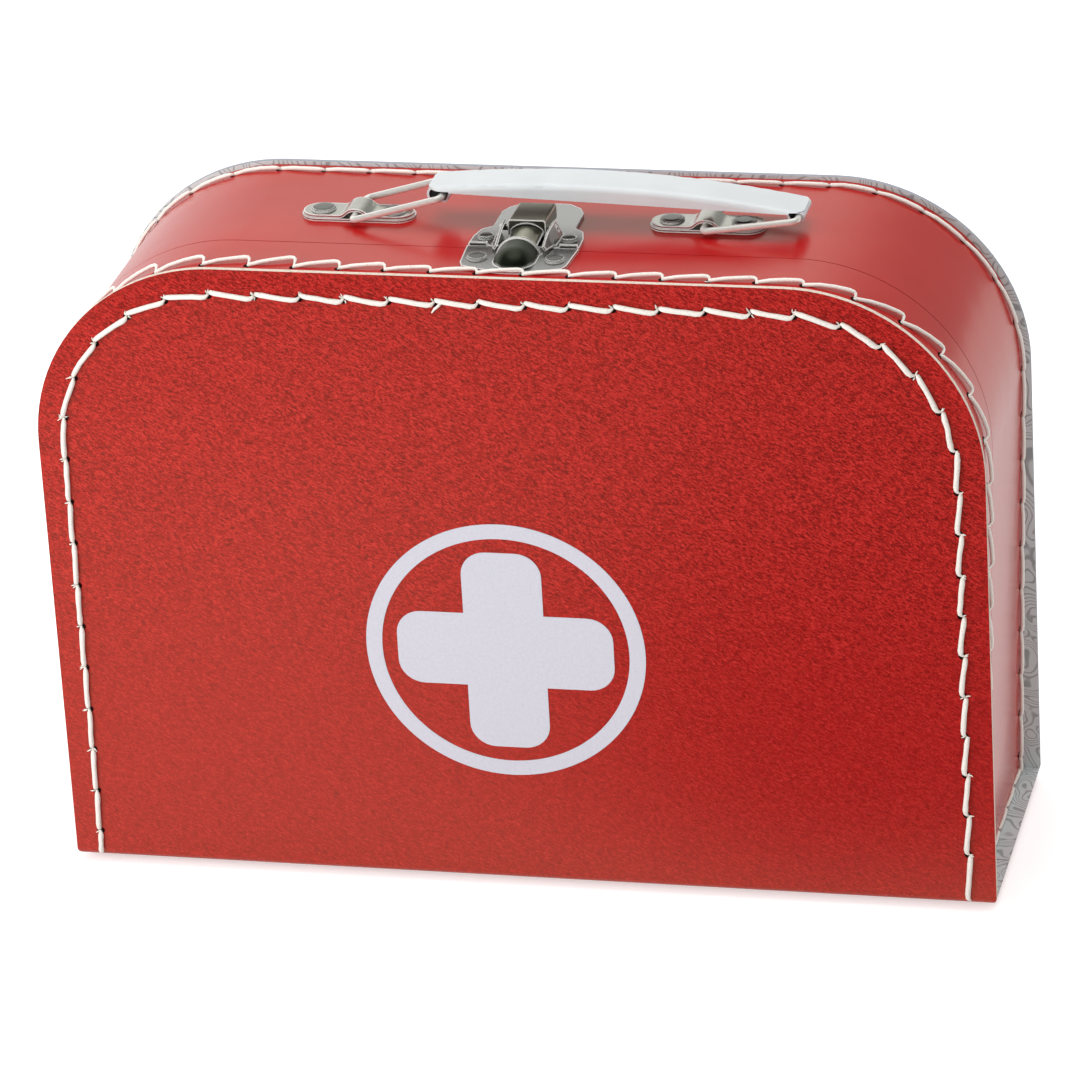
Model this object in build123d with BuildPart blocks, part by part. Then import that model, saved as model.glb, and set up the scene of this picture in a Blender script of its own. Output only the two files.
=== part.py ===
from build123d import *
import math
import os

# Child's play suitcase: two stitched board halves, a folding wire handle, a snap latch.
# Origin: under the middle of the case, on the lowest point of the hinge knuckles.
# +X to the right seen from the front, +Y to the back, +Z up.

# ---- driving dimensions -------------------------------------------------
case_width = 250.0
case_height = 172.0
case_depth = 78.34
corner_radius = 50.5
board = 1.5
split_y = -16.5
split_gap = 0.3
band_inset = 1.0
foot_inset = 5.2
fold_radius = 1.8
foot_corner = 2.0

plate = 0.8
sheet = 0.7
bore_gap = 0.05

hinge_pitch = 150.0
hinge_width = 24.0
hinge_leaf = 13.0
hinge_pin_radius = 1.0
hinge_sheet = 0.7

handle_y = 3.0
handle_x = 1.0
handle_pitch = 93.0
wire_radius = 0.9
link_length = 25.0
link_width = 15.8
link_bend = 1.5
left_link_angle = 15.8
right_link_angle = 8.3
bracket_length = 30.4
bracket_width = 9.5
grip_width = 13.3
grip_rise = 3.7
grip_round = 1.6
grip_sheet = 0.8
curl_sheet = 0.6
wall_foot = 1.15

latch_x = 2.8
pivot_y = -9.0
pivot_height = 3.0
pivot_radius = 0.8

# ---- derived sizes ------------------------------------------------------
leaf_axis = -hinge_sheet / 2
knuckle_radius = hinge_pin_radius + hinge_sheet
stand = knuckle_radius - leaf_axis
front_y = -case_depth / 2
back_y = case_depth / 2
lid_edge = split_y - split_gap / 2
base_edge = split_y + split_gap / 2
half_width = case_width / 2
floor_z = stand
floor_top = floor_z + board
band_top = floor_z + case_height - band_inset
band_under = band_top - board
band_radius = corner_radius - band_inset
hinge_z = floor_z + leaf_axis

bracket_x = [handle_x - handle_pitch / 2, handle_x + handle_pitch / 2]
wire_z = band_top + plate + wire_radius + bore_gap


def shell_outline():
    # outline of one stiff panel, seen from the front, two big corners at the top
    top = floor_z + case_height
    return [
        (-half_width, floor_z),
        (-half_width, top),
        (half_width, top),
        (half_width, floor_z),
    ]


def shell_radii():
    return [foot_corner, corner_radius, corner_radius, foot_corner]


def arch_points(inset):
    # outline of the bent band, sides leaning in towards the foot
    foot = half_width - foot_inset
    rise = band_top - floor_top
    lean = (foot_inset - band_inset + 0.7) / rise
    slope = math.sqrt(1 + lean * lean)
    low = foot - inset * slope
    high = low + (rise - inset) * lean
    return [
        (-low, floor_top),
        (-high, band_top - inset),
        (high, band_top - inset),
        (low, floor_top),
    ]


def arch_radii(inset):
    return [0, band_radius - inset, band_radius - inset, 0]


def tip_of(x, angle):
    # end of a handle link that starts at x and leans at the given angle
    turn = math.radians(angle)
    return (x + link_length * math.cos(turn), wire_z + link_length * math.sin(turn))


hinge_x = [-hinge_pitch / 2, hinge_pitch / 2]
hinge_rivet_x = [-7.0, 7.0]
hinge_rivet_reach = 8.6
latch_base_rivet_x = [latch_x - 11.0, latch_x + 11.0]
latch_base_rivet_y = -11.0
latch_lid_rivet_x = [latch_x - 10.2, latch_x + 10.2]
latch_lid_rivet_y = -24.8
bracket_rivet_reach = 9.5
rivet_hole = 1.2 + bore_gap

# ---- front and back panels, each folded under into its half of the floor ----
notch = knuckle_radius + 0.45

with BuildPart() as front_panel:
    with BuildSketch(Plane.YZ):
        with BuildLine():
            FilletPolyline(
                [
                    (front_y, floor_z),
                    (front_y, floor_z + case_height),
                    (front_y + board, floor_z + case_height),
                    (front_y + board, floor_top),
                    (lid_edge, floor_top),
                    (lid_edge, floor_z),
                ],
                radius=[fold_radius, 0, 0, 0, 0, 0],
                close=True,
            )
        make_face()
    extrude(amount=half_width, both=True)
    with BuildSketch(Plane.XZ.offset(-back_y)):
        with BuildLine():
            FilletPolyline(shell_outline(), radius=shell_radii(), close=True)
        make_face()
    extrude(amount=case_depth, mode=Mode.INTERSECT)
    for x in hinge_x:
        with BuildSketch(Plane.XY.offset(floor_z)):
            with Locations((x, split_y)):
                Rectangle(hinge_width + 1.2, 2 * notch)
            with Locations(*[(x + dx, split_y - hinge_rivet_reach) for dx in hinge_rivet_x]):
                Circle(rivet_hole)
        extrude(amount=board, mode=Mode.SUBTRACT)
front_panel.part.label = "front_panel"

with BuildPart() as back_panel:
    with BuildSketch(Plane.YZ):
        with BuildLine():
            FilletPolyline(
                [
                    (back_y, floor_z),
                    (back_y, floor_z + case_height),
                    (back_y - board, floor_z + case_height),
                    (back_y - board, floor_top),
                    (base_edge, floor_top),
                    (base_edge, floor_z),
                ],
                radius=[fold_radius, 0, 0, 0, 0, 0],
                close=True,
            )
        make_face()
    extrude(amount=half_width, both=True)
    with BuildSketch(Plane.XZ.offset(-back_y)):
        with BuildLine():
            FilletPolyline(shell_outline(), radius=shell_radii(), close=True)
        make_face()
    extrude(amount=case_depth, mode=Mode.INTERSECT)
    for x in hinge_x:
        with BuildSketch(Plane.XY.offset(floor_z)):
            with Locations((x, split_y)):
                Rectangle(hinge_width + 1.2, 2 * notch)
            with Locations(*[(x + dx, split_y + hinge_rivet_reach) for dx in hinge_rivet_x]):
                Circle(rivet_hole)
        extrude(amount=board, mode=Mode.SUBTRACT)
back_panel.part.label = "back_panel"

# ---- bent bands between the panels ----
with BuildPart() as lid_band:
    with BuildSketch(Plane.XZ.offset(-lid_edge)):
        with BuildLine():
            FilletPolyline(arch_points(0), radius=arch_radii(0), close=True)
        make_face()
        with BuildLine():
            FilletPolyline(arch_points(board), radius=arch_radii(board), close=True)
        make_face(mode=Mode.SUBTRACT)
    extrude(amount=lid_edge - front_y - board)
    with BuildSketch(Plane.XY.offset(band_under)):
        with Locations(*[(x, latch_lid_rivet_y) for x in latch_lid_rivet_x]):
            Circle(rivet_hole)
    extrude(amount=board, mode=Mode.SUBTRACT)
lid_band.part.label = "lid_band"

with BuildPart() as base_band:
    with BuildSketch(Plane.XZ.offset(-(back_y - board))):
        with BuildLine():
            FilletPolyline(arch_points(0), radius=arch_radii(0), close=True)
        make_face()
        with BuildLine():
            FilletPolyline(arch_points(board), radius=arch_radii(board), close=True)
        make_face(mode=Mode.SUBTRACT)
    extrude(amount=back_y - board - base_edge)
    with BuildSketch(Plane.XY.offset(band_under)):
        with Locations(*[(x, latch_base_rivet_y) for x in latch_base_rivet_x]):
            Circle(rivet_hole)
        for x in bracket_x:
            with Locations((x - bracket_rivet_reach, handle_y), (x + bracket_rivet_reach, handle_y)):
                Circle(rivet_hole)
    extrude(amount=board, mode=Mode.SUBTRACT)
base_band.part.label = "base_band"


def rivet_profile(low, high, head, rise, tail, drop):
    # half section of one set rivet: clench under low, head above high
    shank = rivet_hole - bore_gap
    return [
        (0, low - drop),
        (tail * 0.7, low - drop),
        (tail, low - drop * 0.5),
        (tail, low),
        (shank, low),
        (shank, high),
        (head, high),
        (head, high + rise * 0.4),
        (head * 0.9, high + rise * 0.75),
        (head * 0.6, high + rise * 0.95),
        (0, high + rise),
    ]


def rivet_at(x, y, low, high, head, rise, tail, drop):
    # one rivet standing at x, y, axis along Z
    plane = Plane(origin=(x, y, 0), x_dir=(1, 0, 0), z_dir=(0, -1, 0))
    with BuildPart() as one:
        with BuildSketch(plane):
            with BuildLine():
                Polyline(rivet_profile(low, high, head, rise, tail, drop), close=True)
            make_face()
        revolve(axis=Axis((x, y, 0), (0, 0, 1)), revolution_arc=360)
    return one.part


# ---- bottom hinges ----
knuckle_third = (hinge_width - 0.6) / 3


def hinge_leaf_part(x, side):
    # side +1 is the base leaf with the two outer knuckles, -1 the lid leaf
    with BuildPart() as leaf:
        with BuildSketch(Plane.YZ.offset(x - hinge_width / 2)):
            with Locations((split_y, hinge_z)):
                Circle(knuckle_radius)
            with Locations((split_y + side * hinge_leaf / 2, hinge_z)):
                Rectangle(hinge_leaf, hinge_sheet)
        extrude(amount=hinge_width)
        with BuildSketch(Plane.YZ.offset(x - hinge_width / 2)):
            with Locations((split_y, hinge_z)):
                Circle(hinge_pin_radius + bore_gap)
        extrude(amount=hinge_width, mode=Mode.SUBTRACT)
        cut = 2 * (knuckle_radius + 0.3)
        if side > 0:
            with BuildSketch(Plane.YZ.offset(x - knuckle_third / 2 - 0.3)):
                with Locations((split_y, hinge_z)):
                    Rectangle(cut, cut)
            extrude(amount=knuckle_third + 0.6, mode=Mode.SUBTRACT)
        else:
            for start in (x - hinge_width / 2, x + knuckle_third / 2):
                with BuildSketch(Plane.YZ.offset(start)):
                    with Locations((split_y, hinge_z)):
                        Rectangle(cut, cut)
                extrude(amount=knuckle_third + 0.3, mode=Mode.SUBTRACT)
        with BuildSketch(Plane.XY.offset(hinge_z - hinge_sheet)):
            with Locations(*[(x + dx, split_y + side * hinge_rivet_reach) for dx in hinge_rivet_x]):
                Circle(rivet_hole)
        extrude(amount=2 * hinge_sheet, mode=Mode.SUBTRACT)
    return leaf.part


def hinge_pin_part(x):
    # straight pin with a small upset head outside each outer knuckle
    with BuildPart() as pin:
        with BuildSketch(Plane.YZ.offset(x - hinge_width / 2)):
            with Locations((split_y, hinge_z)):
                Circle(hinge_pin_radius)
        extrude(amount=hinge_width)
        for start, run in ((x - hinge_width / 2, -0.5), (x + hinge_width / 2, 0.5)):
            with BuildSketch(Plane.YZ.offset(start)):
                with Locations((split_y, hinge_z)):
                    Circle(hinge_pin_radius + 0.35)
            extrude(amount=run)
    return pin.part


hinge_base_leaf_left = hinge_leaf_part(hinge_x[0], 1)
hinge_base_leaf_right = hinge_leaf_part(hinge_x[1], 1)
hinge_lid_leaf_left = hinge_leaf_part(hinge_x[0], -1)
hinge_lid_leaf_right = hinge_leaf_part(hinge_x[1], -1)
hinge_pin_left = hinge_pin_part(hinge_x[0])
hinge_pin_right = hinge_pin_part(hinge_x[1])

hinge_low = hinge_z - hinge_sheet / 2


def hinge_rivet(x, y):
    # flat head below the leaf, washer clench on the floor inside
    shank = rivet_hole - bore_gap
    plane = Plane(origin=(x, y, 0), x_dir=(1, 0, 0), z_dir=(0, -1, 0))
    with BuildPart() as one:
        with BuildSketch(plane):
            with BuildLine():
                Polyline(
                    [
                        (0, hinge_low - 0.6),
                        (1.9, hinge_low - 0.6),
                        (2.4, hinge_low - 0.25),
                        (2.4, hinge_low),
                        (shank, hinge_low),
                        (shank, floor_top),
                        (2.6, floor_top),
                        (2.4, floor_top + 0.4),
                        (1.2, floor_top + 0.6),
                        (0, floor_top + 0.6),
                    ],
                    close=True,
                )
            make_face()
        revolve(axis=Axis((x, y, 0), (0, 0, 1)), revolution_arc=360)
    return one.part


base_set = []
lid_set = []
for hx in hinge_x:
    for dx in hinge_rivet_x:
        base_set.append(hinge_rivet(hx + dx, split_y + hinge_rivet_reach))
        lid_set.append(hinge_rivet(hx + dx, split_y - hinge_rivet_reach))
hinge_base_rivets = Compound(children=base_set)
hinge_lid_rivets = Compound(children=lid_set)

# ---- handle brackets ----


def bracket_plate_part(x):
    with BuildPart() as base:
        with BuildSketch(Plane.XY.offset(band_top)):
            with Locations((x, handle_y)):
                SlotOverall(bracket_length, bracket_width)
            with Locations((x - bracket_rivet_reach, handle_y), (x + bracket_rivet_reach, handle_y)):
                Circle(rivet_hole, mode=Mode.SUBTRACT)
        extrude(amount=plate)
    return base.part


def bracket_strap_part(x):
    # flat ends riveted down, S-flared hump over the wire in the middle
    mid = band_top + 1.5 * plate
    crest = wire_z + wire_radius + bore_gap + plate / 2
    reach = bracket_length / 2 - 0.4
    hump_foot = 3.75
    hump_top = 1.6
    with BuildPart() as strap:
        with BuildSketch(Plane.XZ.offset(-handle_y)):
            with BuildLine():
                FilletPolyline(
                    [
                        (x - reach - 2, mid),
                        (x - hump_foot, mid),
                        (x - hump_top, crest),
                        (x + hump_top, crest),
                        (x + hump_foot, mid),
                        (x + reach + 2, mid),
                    ],
                    radius=[2.4, 3.5, 3.5, 2.4],
                )
            trace(line_width=plate)
        extrude(amount=bracket_width, both=True)
        with BuildSketch(Plane.XY.offset(band_top)):
            with Locations((x, handle_y)):
                SlotOverall(2 * reach, bracket_width - 0.8)
        extrude(amount=12, mode=Mode.INTERSECT)
        with BuildSketch(Plane.XY.offset(band_top)):
            with Locations((x - bracket_rivet_reach, handle_y), (x + bracket_rivet_reach, handle_y)):
                Circle(rivet_hole)
        extrude(amount=2 * plate + 0.01, mode=Mode.SUBTRACT)
    return strap.part


bracket_plate_left = bracket_plate_part(bracket_x[0])
bracket_plate_right = bracket_plate_part(bracket_x[1])
bracket_strap_left = bracket_strap_part(bracket_x[0])
bracket_strap_right = bracket_strap_part(bracket_x[1])

bracket_set = []
for bx in bracket_x:
    for dx in (-bracket_rivet_reach, bracket_rivet_reach):
        seat = band_top + 2 * plate
        bracket_set.append(rivet_at(bx + dx, handle_y, band_under, seat, 3.3, 0.9, 2.6, 0.6))
bracket_rivets = Compound(children=bracket_set)

# ---- handle links: closed rectangles of wire ----


def link_part(x, angle):
    turn = math.radians(angle)
    plane = Plane(
        origin=(x, handle_y, wire_z),
        x_dir=(math.cos(turn), 0, math.sin(turn)),
        z_dir=(-math.sin(turn), 0, math.cos(turn)),
    )
    half = link_width / 2
    with BuildPart() as link:
        with BuildLine(plane):
            FilletPolyline(
                [
                    (0, 0),
                    (0, half),
                    (link_length, half),
                    (link_length, -half),
                    (0, -half),
                    (0, 0),
                ],
                radius=[0, link_bend, link_bend, link_bend, link_bend],
            )
        with BuildSketch(Plane(origin=(x, handle_y, wire_z), z_dir=(0, 1, 0))):
            Circle(wire_radius)
        sweep()
    return link.part


left_link = link_part(bracket_x[0], left_link_angle)
right_link = link_part(bracket_x[1], right_link_angle)

# ---- grip, drawn along the line between the two upper wire bars ----
left_tip = tip_of(bracket_x[0], left_link_angle)
right_tip = tip_of(bracket_x[1], right_link_angle)
grip_slope = math.atan2(right_tip[1] - left_tip[1], right_tip[0] - left_tip[0])
tip_span = math.dist(left_tip, right_tip)
grip_plane = Plane(
    origin=(left_tip[0], handle_y, left_tip[1]),
    x_dir=(math.cos(grip_slope), 0, math.sin(grip_slope)),
    z_dir=(0, -1, 0),
)

# the right bar is the grip's pivot, the left bar has play while the handle swings
play_along = 2.6
play_across = 0.46
snug_half = wire_radius + bore_gap + curl_sheet / 2
loose_half = wire_radius + 0.08 + play_across + curl_sheet / 2
left_end = -play_along - wire_radius - 0.08 - curl_sheet / 2
right_end = tip_span + snug_half
curl_width = grip_width - 3.2
crown_left = loose_half + curl_sheet / 2
crown_right = snug_half + curl_sheet / 2
middle = (left_end + right_end) / 2
crown_middle = (crown_left + crown_right) / 2 + grip_rise

with BuildPart() as grip:
    # C-shaped channel swept along the arched crown
    with BuildLine(grip_plane):
        crown = ThreePointArc((left_end, crown_left), (middle, crown_middle), (right_end, crown_right))
    with BuildSketch(Plane(origin=crown @ 0, x_dir=(0, 1, 0), z_dir=crown % 0)):
        side = grip_width / 2
        bore = side - grip_sheet
        with BuildLine():
            FilletPolyline(
                [(-side, -7), (-side, 0), (side, 0), (side, -7)],
                radius=[0, grip_round, grip_round, 0],
                close=True,
            )
        make_face()
        with BuildLine():
            FilletPolyline(
                [(-bore, -8), (-bore, -grip_sheet), (bore, -grip_sheet), (bore, -8)],
                radius=[0, grip_round - grip_sheet, grip_round - grip_sheet, 0],
                close=True,
            )
        make_face(mode=Mode.SUBTRACT)
    sweep()
    # level foot of the rolled sides, more room for the wire bends at both ends
    with BuildSketch(grip_plane):
        with Locations((middle, wall_foot - 10)):
            Rectangle(case_width, 20)
        with Locations((left_end, loose_half - curl_sheet / 2 - 5)):
            Rectangle(2 * (play_along + 3.2), 10)
        with Locations((right_end, snug_half + 0.25 - 5)):
            Rectangle(2 * 3.6, 10)
    extrude(amount=grip_width, both=True, mode=Mode.SUBTRACT)
    with BuildSketch(Plane.XY.offset(band_top)):
        plan_x = left_tip[0] + middle * math.cos(grip_slope)
        with Locations((plan_x, handle_y)):
            RectangleRounded(right_end - left_end + 0.5, grip_width + 0.1, 4.5)
    extrude(amount=20, mode=Mode.INTERSECT)
    # curled ends around the wire bars
    with BuildSketch(grip_plane):
        with BuildLine():
            FilletPolyline(
                [
                    (wire_radius + 1.45, loose_half - 0.1),
                    (wire_radius + 0.1, -loose_half),
                    (left_end, -loose_half),
                    (left_end, loose_half),
                    (wire_radius + 4.5, loose_half + 0.4),
                ],
                radius=[0.8, loose_half - 0.05, loose_half - 0.1],
            )
        trace(line_width=curl_sheet)
        with BuildLine():
            FilletPolyline(
                [
                    (tip_span - wire_radius - 1.1, -snug_half),
                    (right_end, -snug_half),
                    (right_end, snug_half),
                    (tip_span - wire_radius - 4.0, snug_half + 0.35),
                ],
                radius=[snug_half - 0.02, snug_half - 0.06],
            )
        trace(line_width=curl_sheet)
        with BuildLine():
            Line(
                (tip_span - wire_radius - 1.1, -snug_half),
                (tip_span - wire_radius - 2.4, snug_half + 0.2),
            )
        trace(line_width=curl_sheet)
        with Locations((tip_span - wire_radius - 1.1, -snug_half)):
            Circle(curl_sheet / 2)
    extrude(amount=curl_width / 2, both=True)
grip.part.label = "grip"

# ---- latch: plate with pressed dome on the lid ----


def lx(points):
    # shift latch points from the latch middle to the case
    return [(latch_x + p[0], p[1]) for p in points]


plate_top = band_top + plate
dome_half = 5.5
dome_rise = 4.2
dome_mouth = -20.7
dome_turn = -26.5


with BuildPart() as latch_strike_plate:
    with BuildSketch(Plane.XY.offset(band_top)):
        with BuildLine():
            Polyline(lx([(-13.2, -30.2), (-14.0, -28.0), (-14.7, lid_edge - 0.1)]))
            Line(*lx([(-14.7, lid_edge - 0.1), (14.7, lid_edge - 0.1)]))
            Polyline(lx([(14.7, lid_edge - 0.1), (14.0, -28.0), (13.2, -30.2)]))
            ThreePointArc(*lx([(13.2, -30.2), (0, -33.3), (-13.2, -30.2)]))
        make_face()
        with Locations(*[(x, latch_lid_rivet_y) for x in latch_lid_rivet_x]):
            Circle(rivet_hole, mode=Mode.SUBTRACT)
    extrude(amount=plate)
    # pressed half barrel, open towards the back, rounded nose in front
    barrel_run = dome_mouth - dome_turn
    for half, rise, foot, run, mode in (
        (dome_half + 0.4, dome_rise + 0.4, band_top + 0.1, 0.8, Mode.ADD),
        (dome_half, dome_rise, band_top + 0.1, barrel_run, Mode.ADD),
        (dome_half - sheet, dome_rise - sheet, band_top - 1.0, barrel_run, Mode.SUBTRACT),
    ):
        radius = (half * half + rise * rise) / (2 * rise)
        centre = plate_top + rise - radius
        with BuildSketch(Plane.XZ.offset(-dome_mouth)) as barrel:
            with BuildLine():
                Polyline(
                    [
                        (latch_x + half, plate_top),
                        (latch_x + half, foot),
                        (latch_x - half, foot),
                        (latch_x - half, plate_top),
                    ]
                )
                ThreePointArc(
                    (latch_x - half, plate_top),
                    (latch_x, plate_top + rise),
                    (latch_x + half, plate_top),
                )
            make_face()
        extrude(amount=run, mode=mode)
        if run < barrel_run:
            continue
        turn_plane = Plane(origin=(latch_x, dome_turn, 0), x_dir=(1, 0, 0), z_dir=(0, -1, 0))
        with BuildSketch(turn_plane):
            with BuildLine():
                Polyline([(0, plate_top + rise), (0, foot), (half, foot), (half, plate_top)])
                ThreePointArc(
                    (half, plate_top),
                    (
                        radius * math.sin(0.62),
                        centre + radius * math.cos(0.62),
                    ),
                    (0, plate_top + rise),
                )
            make_face()
        revolve(axis=Axis((latch_x, dome_turn, 0), (0, 0, -1)), revolution_arc=180, mode=mode)
latch_strike_plate.part.label = "latch_strike_plate"

# ---- latch: plate on the base with two leaning cheeks ----


def cheek_sections():
    # y, foot x and z, top x and z, measured from the latch middle and the band
    return [
        (-7.2, 8.45, 0.4, 6.4, 4.6),
        (-11.0, 8.4, 0.4, 6.35, 4.6),
        (-14.6, 8.1, 0.4, 6.2, 4.2),
        (-16.5, 7.8, 1.2, 6.15, 3.7),
        (-20.3, 6.9, 1.4, 6.1, 2.5),
    ]


def cheek_part(side):
    with BuildPart() as cheek:
        for y, foot_x, foot_z, top_x, top_z in cheek_sections():
            length = math.hypot(top_x - foot_x, top_z - foot_z)
            nx = (top_z - foot_z) / length * 0.35
            nz = (foot_x - top_x) / length * 0.35
            with BuildSketch(Plane.XZ.offset(-y)):
                with BuildLine():
                    Polyline(
                        [
                            (latch_x + side * (foot_x - nx), band_top + foot_z - nz),
                            (latch_x + side * (top_x - nx), band_top + top_z - nz),
                            (latch_x + side * (top_x + nx), band_top + top_z + nz),
                            (latch_x + side * (foot_x + nx), band_top + foot_z + nz),
                        ],
                        close=True,
                    )
                make_face()
        loft(ruled=True)
    return cheek.part


plate_outline = [
    (14.7, base_edge + 0.1),
    (14.5, -10.0),
    (13.4, -5.2),
    (10.9, -3.0),
    (10.9, 7.4),
    (9.3, 10.8),
    (5.9, 13.6),
]
plate_radii = [0.6, 2.0, 2.0, 1.6, 1.6, 1.6, 1.2]
left_outline = [(-p[0], p[1]) for p in reversed(plate_outline)]

hem_middle = 11.9
hem_run = 4.8
hem_rise = 0.7

with BuildPart() as latch_base_plate:
    with BuildSketch(Plane.XY.offset(band_top)):
        with BuildLine():
            FilletPolyline(
                lx(plate_outline + left_outline),
                radius=plate_radii + list(reversed(plate_radii)),
                close=True,
            )
        make_face()
        with Locations(*[(x, latch_base_rivet_y) for x in latch_base_rivet_x]):
            Circle(rivet_hole, mode=Mode.SUBTRACT)
    extrude(amount=plate)
    # folded hem that stands along the front edge, beside the cheeks
    with BuildSketch(Plane.XY.offset(band_top)):
        with Locations((latch_x - hem_middle, base_edge + 0.5), (latch_x + hem_middle, base_edge + 0.5)):
            Rectangle(hem_run, 0.8)
    extrude(amount=plate + hem_rise)
    add(cheek_part(1))
    add(cheek_part(-1))
    with BuildSketch(Plane.YZ.offset(latch_x - 12)):
        with Locations((pivot_y, band_top + pivot_height)):
            Circle(pivot_radius + bore_gap)
    extrude(amount=24, mode=Mode.SUBTRACT)
latch_base_plate.part.label = "latch_base_plate"

pin_half = 7.6

with BuildPart() as latch_pin:
    with BuildSketch(Plane.YZ.offset(latch_x - pin_half)):
        with Locations((pivot_y, band_top + pivot_height)):
            Circle(pivot_radius)
    extrude(amount=2 * pin_half)
latch_pin.part.label = "latch_pin"

# ---- latch lever: pressed box with an arched tongue ----
box_half = 5.0
box_front = -11.3
box_back = 1.5


def tongue_part():
    # y, half width, height of the crown, height of the side edges
    with BuildPart() as tongue:
        for y, half, crown, side in (
            (-10.6, 4.35, 4.75, 2.7),
            (-12.4, 4.25, 4.5, 2.3),
            (-20.7, 3.9, 3.1, 1.15),
            (-24.0, 3.3, 2.6, 1.15),
        ):
            with BuildSketch(Plane.XZ.offset(-y)):
                with BuildLine():
                    a = (latch_x - half, band_top + side)
                    b = (latch_x + half, band_top + side)
                    ThreePointArc(a, (latch_x, band_top + crown), b)
                    Line(b, (b[0] - sheet, b[1]))
                    ThreePointArc(
                        (b[0] - sheet, b[1]),
                        (latch_x, band_top + crown - sheet),
                        (a[0] + sheet, a[1]),
                    )
                    Line((a[0] + sheet, a[1]), a)
                make_face()
        loft(ruled=True)
    return tongue.part


with BuildPart() as latch_lever:
    with BuildSketch(Plane.YZ.offset(latch_x - box_half)):
        with BuildLine():
            Polyline(
                [
                    (box_front, band_top + 1.7),
                    (box_front, band_top + 6.0),
                    (box_back, band_top + 5.7),
                    (box_back, band_top + 1.95),
                    (-5.0, band_top + 1.7),
                ],
                close=True,
            )
        make_face()
    extrude(amount=2 * box_half)
    top_edges = latch_lever.edges().filter_by(Axis.Y, tolerance=3).sort_by(Axis.Z)[-2:]
    fillet(top_edges, radius=0.8)
    with BuildSketch(Plane.YZ.offset(latch_x - box_half + plate)):
        with BuildLine():
            Polyline(
                [
                    (box_front + plate, band_top + 0.5),
                    (box_front + plate, band_top + 5.2),
                    (box_back - plate, band_top + 4.95),
                    (box_back - plate, band_top + 0.5),
                ],
                close=True,
            )
        make_face()
    extrude(amount=2 * (box_half - plate), mode=Mode.SUBTRACT)
    with BuildSketch(Plane.XZ.offset(-box_front - 1.5)):
        with BuildLine():
            Polyline(
                [
                    (latch_x + 4.2, band_top + 3.2),
                    (latch_x + 4.2, band_top + 0.5),
                    (latch_x - 4.2, band_top + 0.5),
                    (latch_x - 4.2, band_top + 3.2),
                ]
            )
            ThreePointArc(
                (latch_x - 4.2, band_top + 3.2),
                (latch_x, band_top + 5.1),
                (latch_x + 4.2, band_top + 3.2),
            )
        make_face()
    extrude(amount=3, mode=Mode.SUBTRACT)
    add(tongue_part())
    with BuildSketch(Plane.YZ.offset(latch_x - 12)):
        with Locations((pivot_y, band_top + pivot_height)):
            Circle(pivot_radius + bore_gap)
    extrude(amount=24, mode=Mode.SUBTRACT)
latch_lever.part.label = "latch_lever"

with BuildPart() as latch_spring:
    with BuildSketch(Plane.YZ.offset(latch_x - 2.6)):
        with BuildLine():
            FilletPolyline(
                [
                    (-6.6, plate_top + 0.15),
                    (-0.3, plate_top + 0.15),
                    (-5.6, band_top + 4.55),
                ],
                radius=[0.7],
            )
        trace(line_width=0.3)
    extrude(amount=5.2)
latch_spring.part.label = "latch_spring"

latch_base_set = []
for rx in latch_base_rivet_x:
    latch_base_set.append(
        rivet_at(rx, latch_base_rivet_y, band_under, plate_top, 2.1, 1.0, 2.2, 0.6)
    )
latch_base_rivets = Compound(children=latch_base_set)
latch_lid_set = []
for rx in latch_lid_rivet_x:
    latch_lid_set.append(
        rivet_at(rx, latch_lid_rivet_y, band_under, plate_top, 2.7, 0.9, 2.2, 0.6)
    )
latch_lid_rivets = Compound(children=latch_lid_set)

# ---- write the pieces ----
os.makedirs("parts", exist_ok=True)
pieces = {
    "front_panel": front_panel.part,
    "back_panel": back_panel.part,
    "lid_band": lid_band.part,
    "base_band": base_band.part,
    "hinge_base_leaf_left": hinge_base_leaf_left,
    "hinge_base_leaf_right": hinge_base_leaf_right,
    "hinge_lid_leaf_left": hinge_lid_leaf_left,
    "hinge_lid_leaf_right": hinge_lid_leaf_right,
    "hinge_pin_left": hinge_pin_left,
    "hinge_pin_right": hinge_pin_right,
    "hinge_base_rivets": hinge_base_rivets,
    "hinge_lid_rivets": hinge_lid_rivets,
    "bracket_plate_left": bracket_plate_left,
    "bracket_plate_right": bracket_plate_right,
    "bracket_strap_left": bracket_strap_left,
    "bracket_strap_right": bracket_strap_right,
    "bracket_rivets": bracket_rivets,
    "left_link": left_link,
    "right_link": right_link,
    "grip": grip.part,
    "latch_strike_plate": latch_strike_plate.part,
    "latch_lid_rivets": latch_lid_rivets,
    "latch_base_plate": latch_base_plate.part,
    "latch_base_rivets": latch_base_rivets,
    "latch_pin": latch_pin.part,
    "latch_spring": latch_spring.part,
    "latch_lever": latch_lever.part,
}
for name, piece in pieces.items():
    piece.label = name
    export_step(piece, "parts/" + name + ".step")
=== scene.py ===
import math
import random

import bmesh
import bpy
from mathutils import Matrix, Vector


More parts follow.
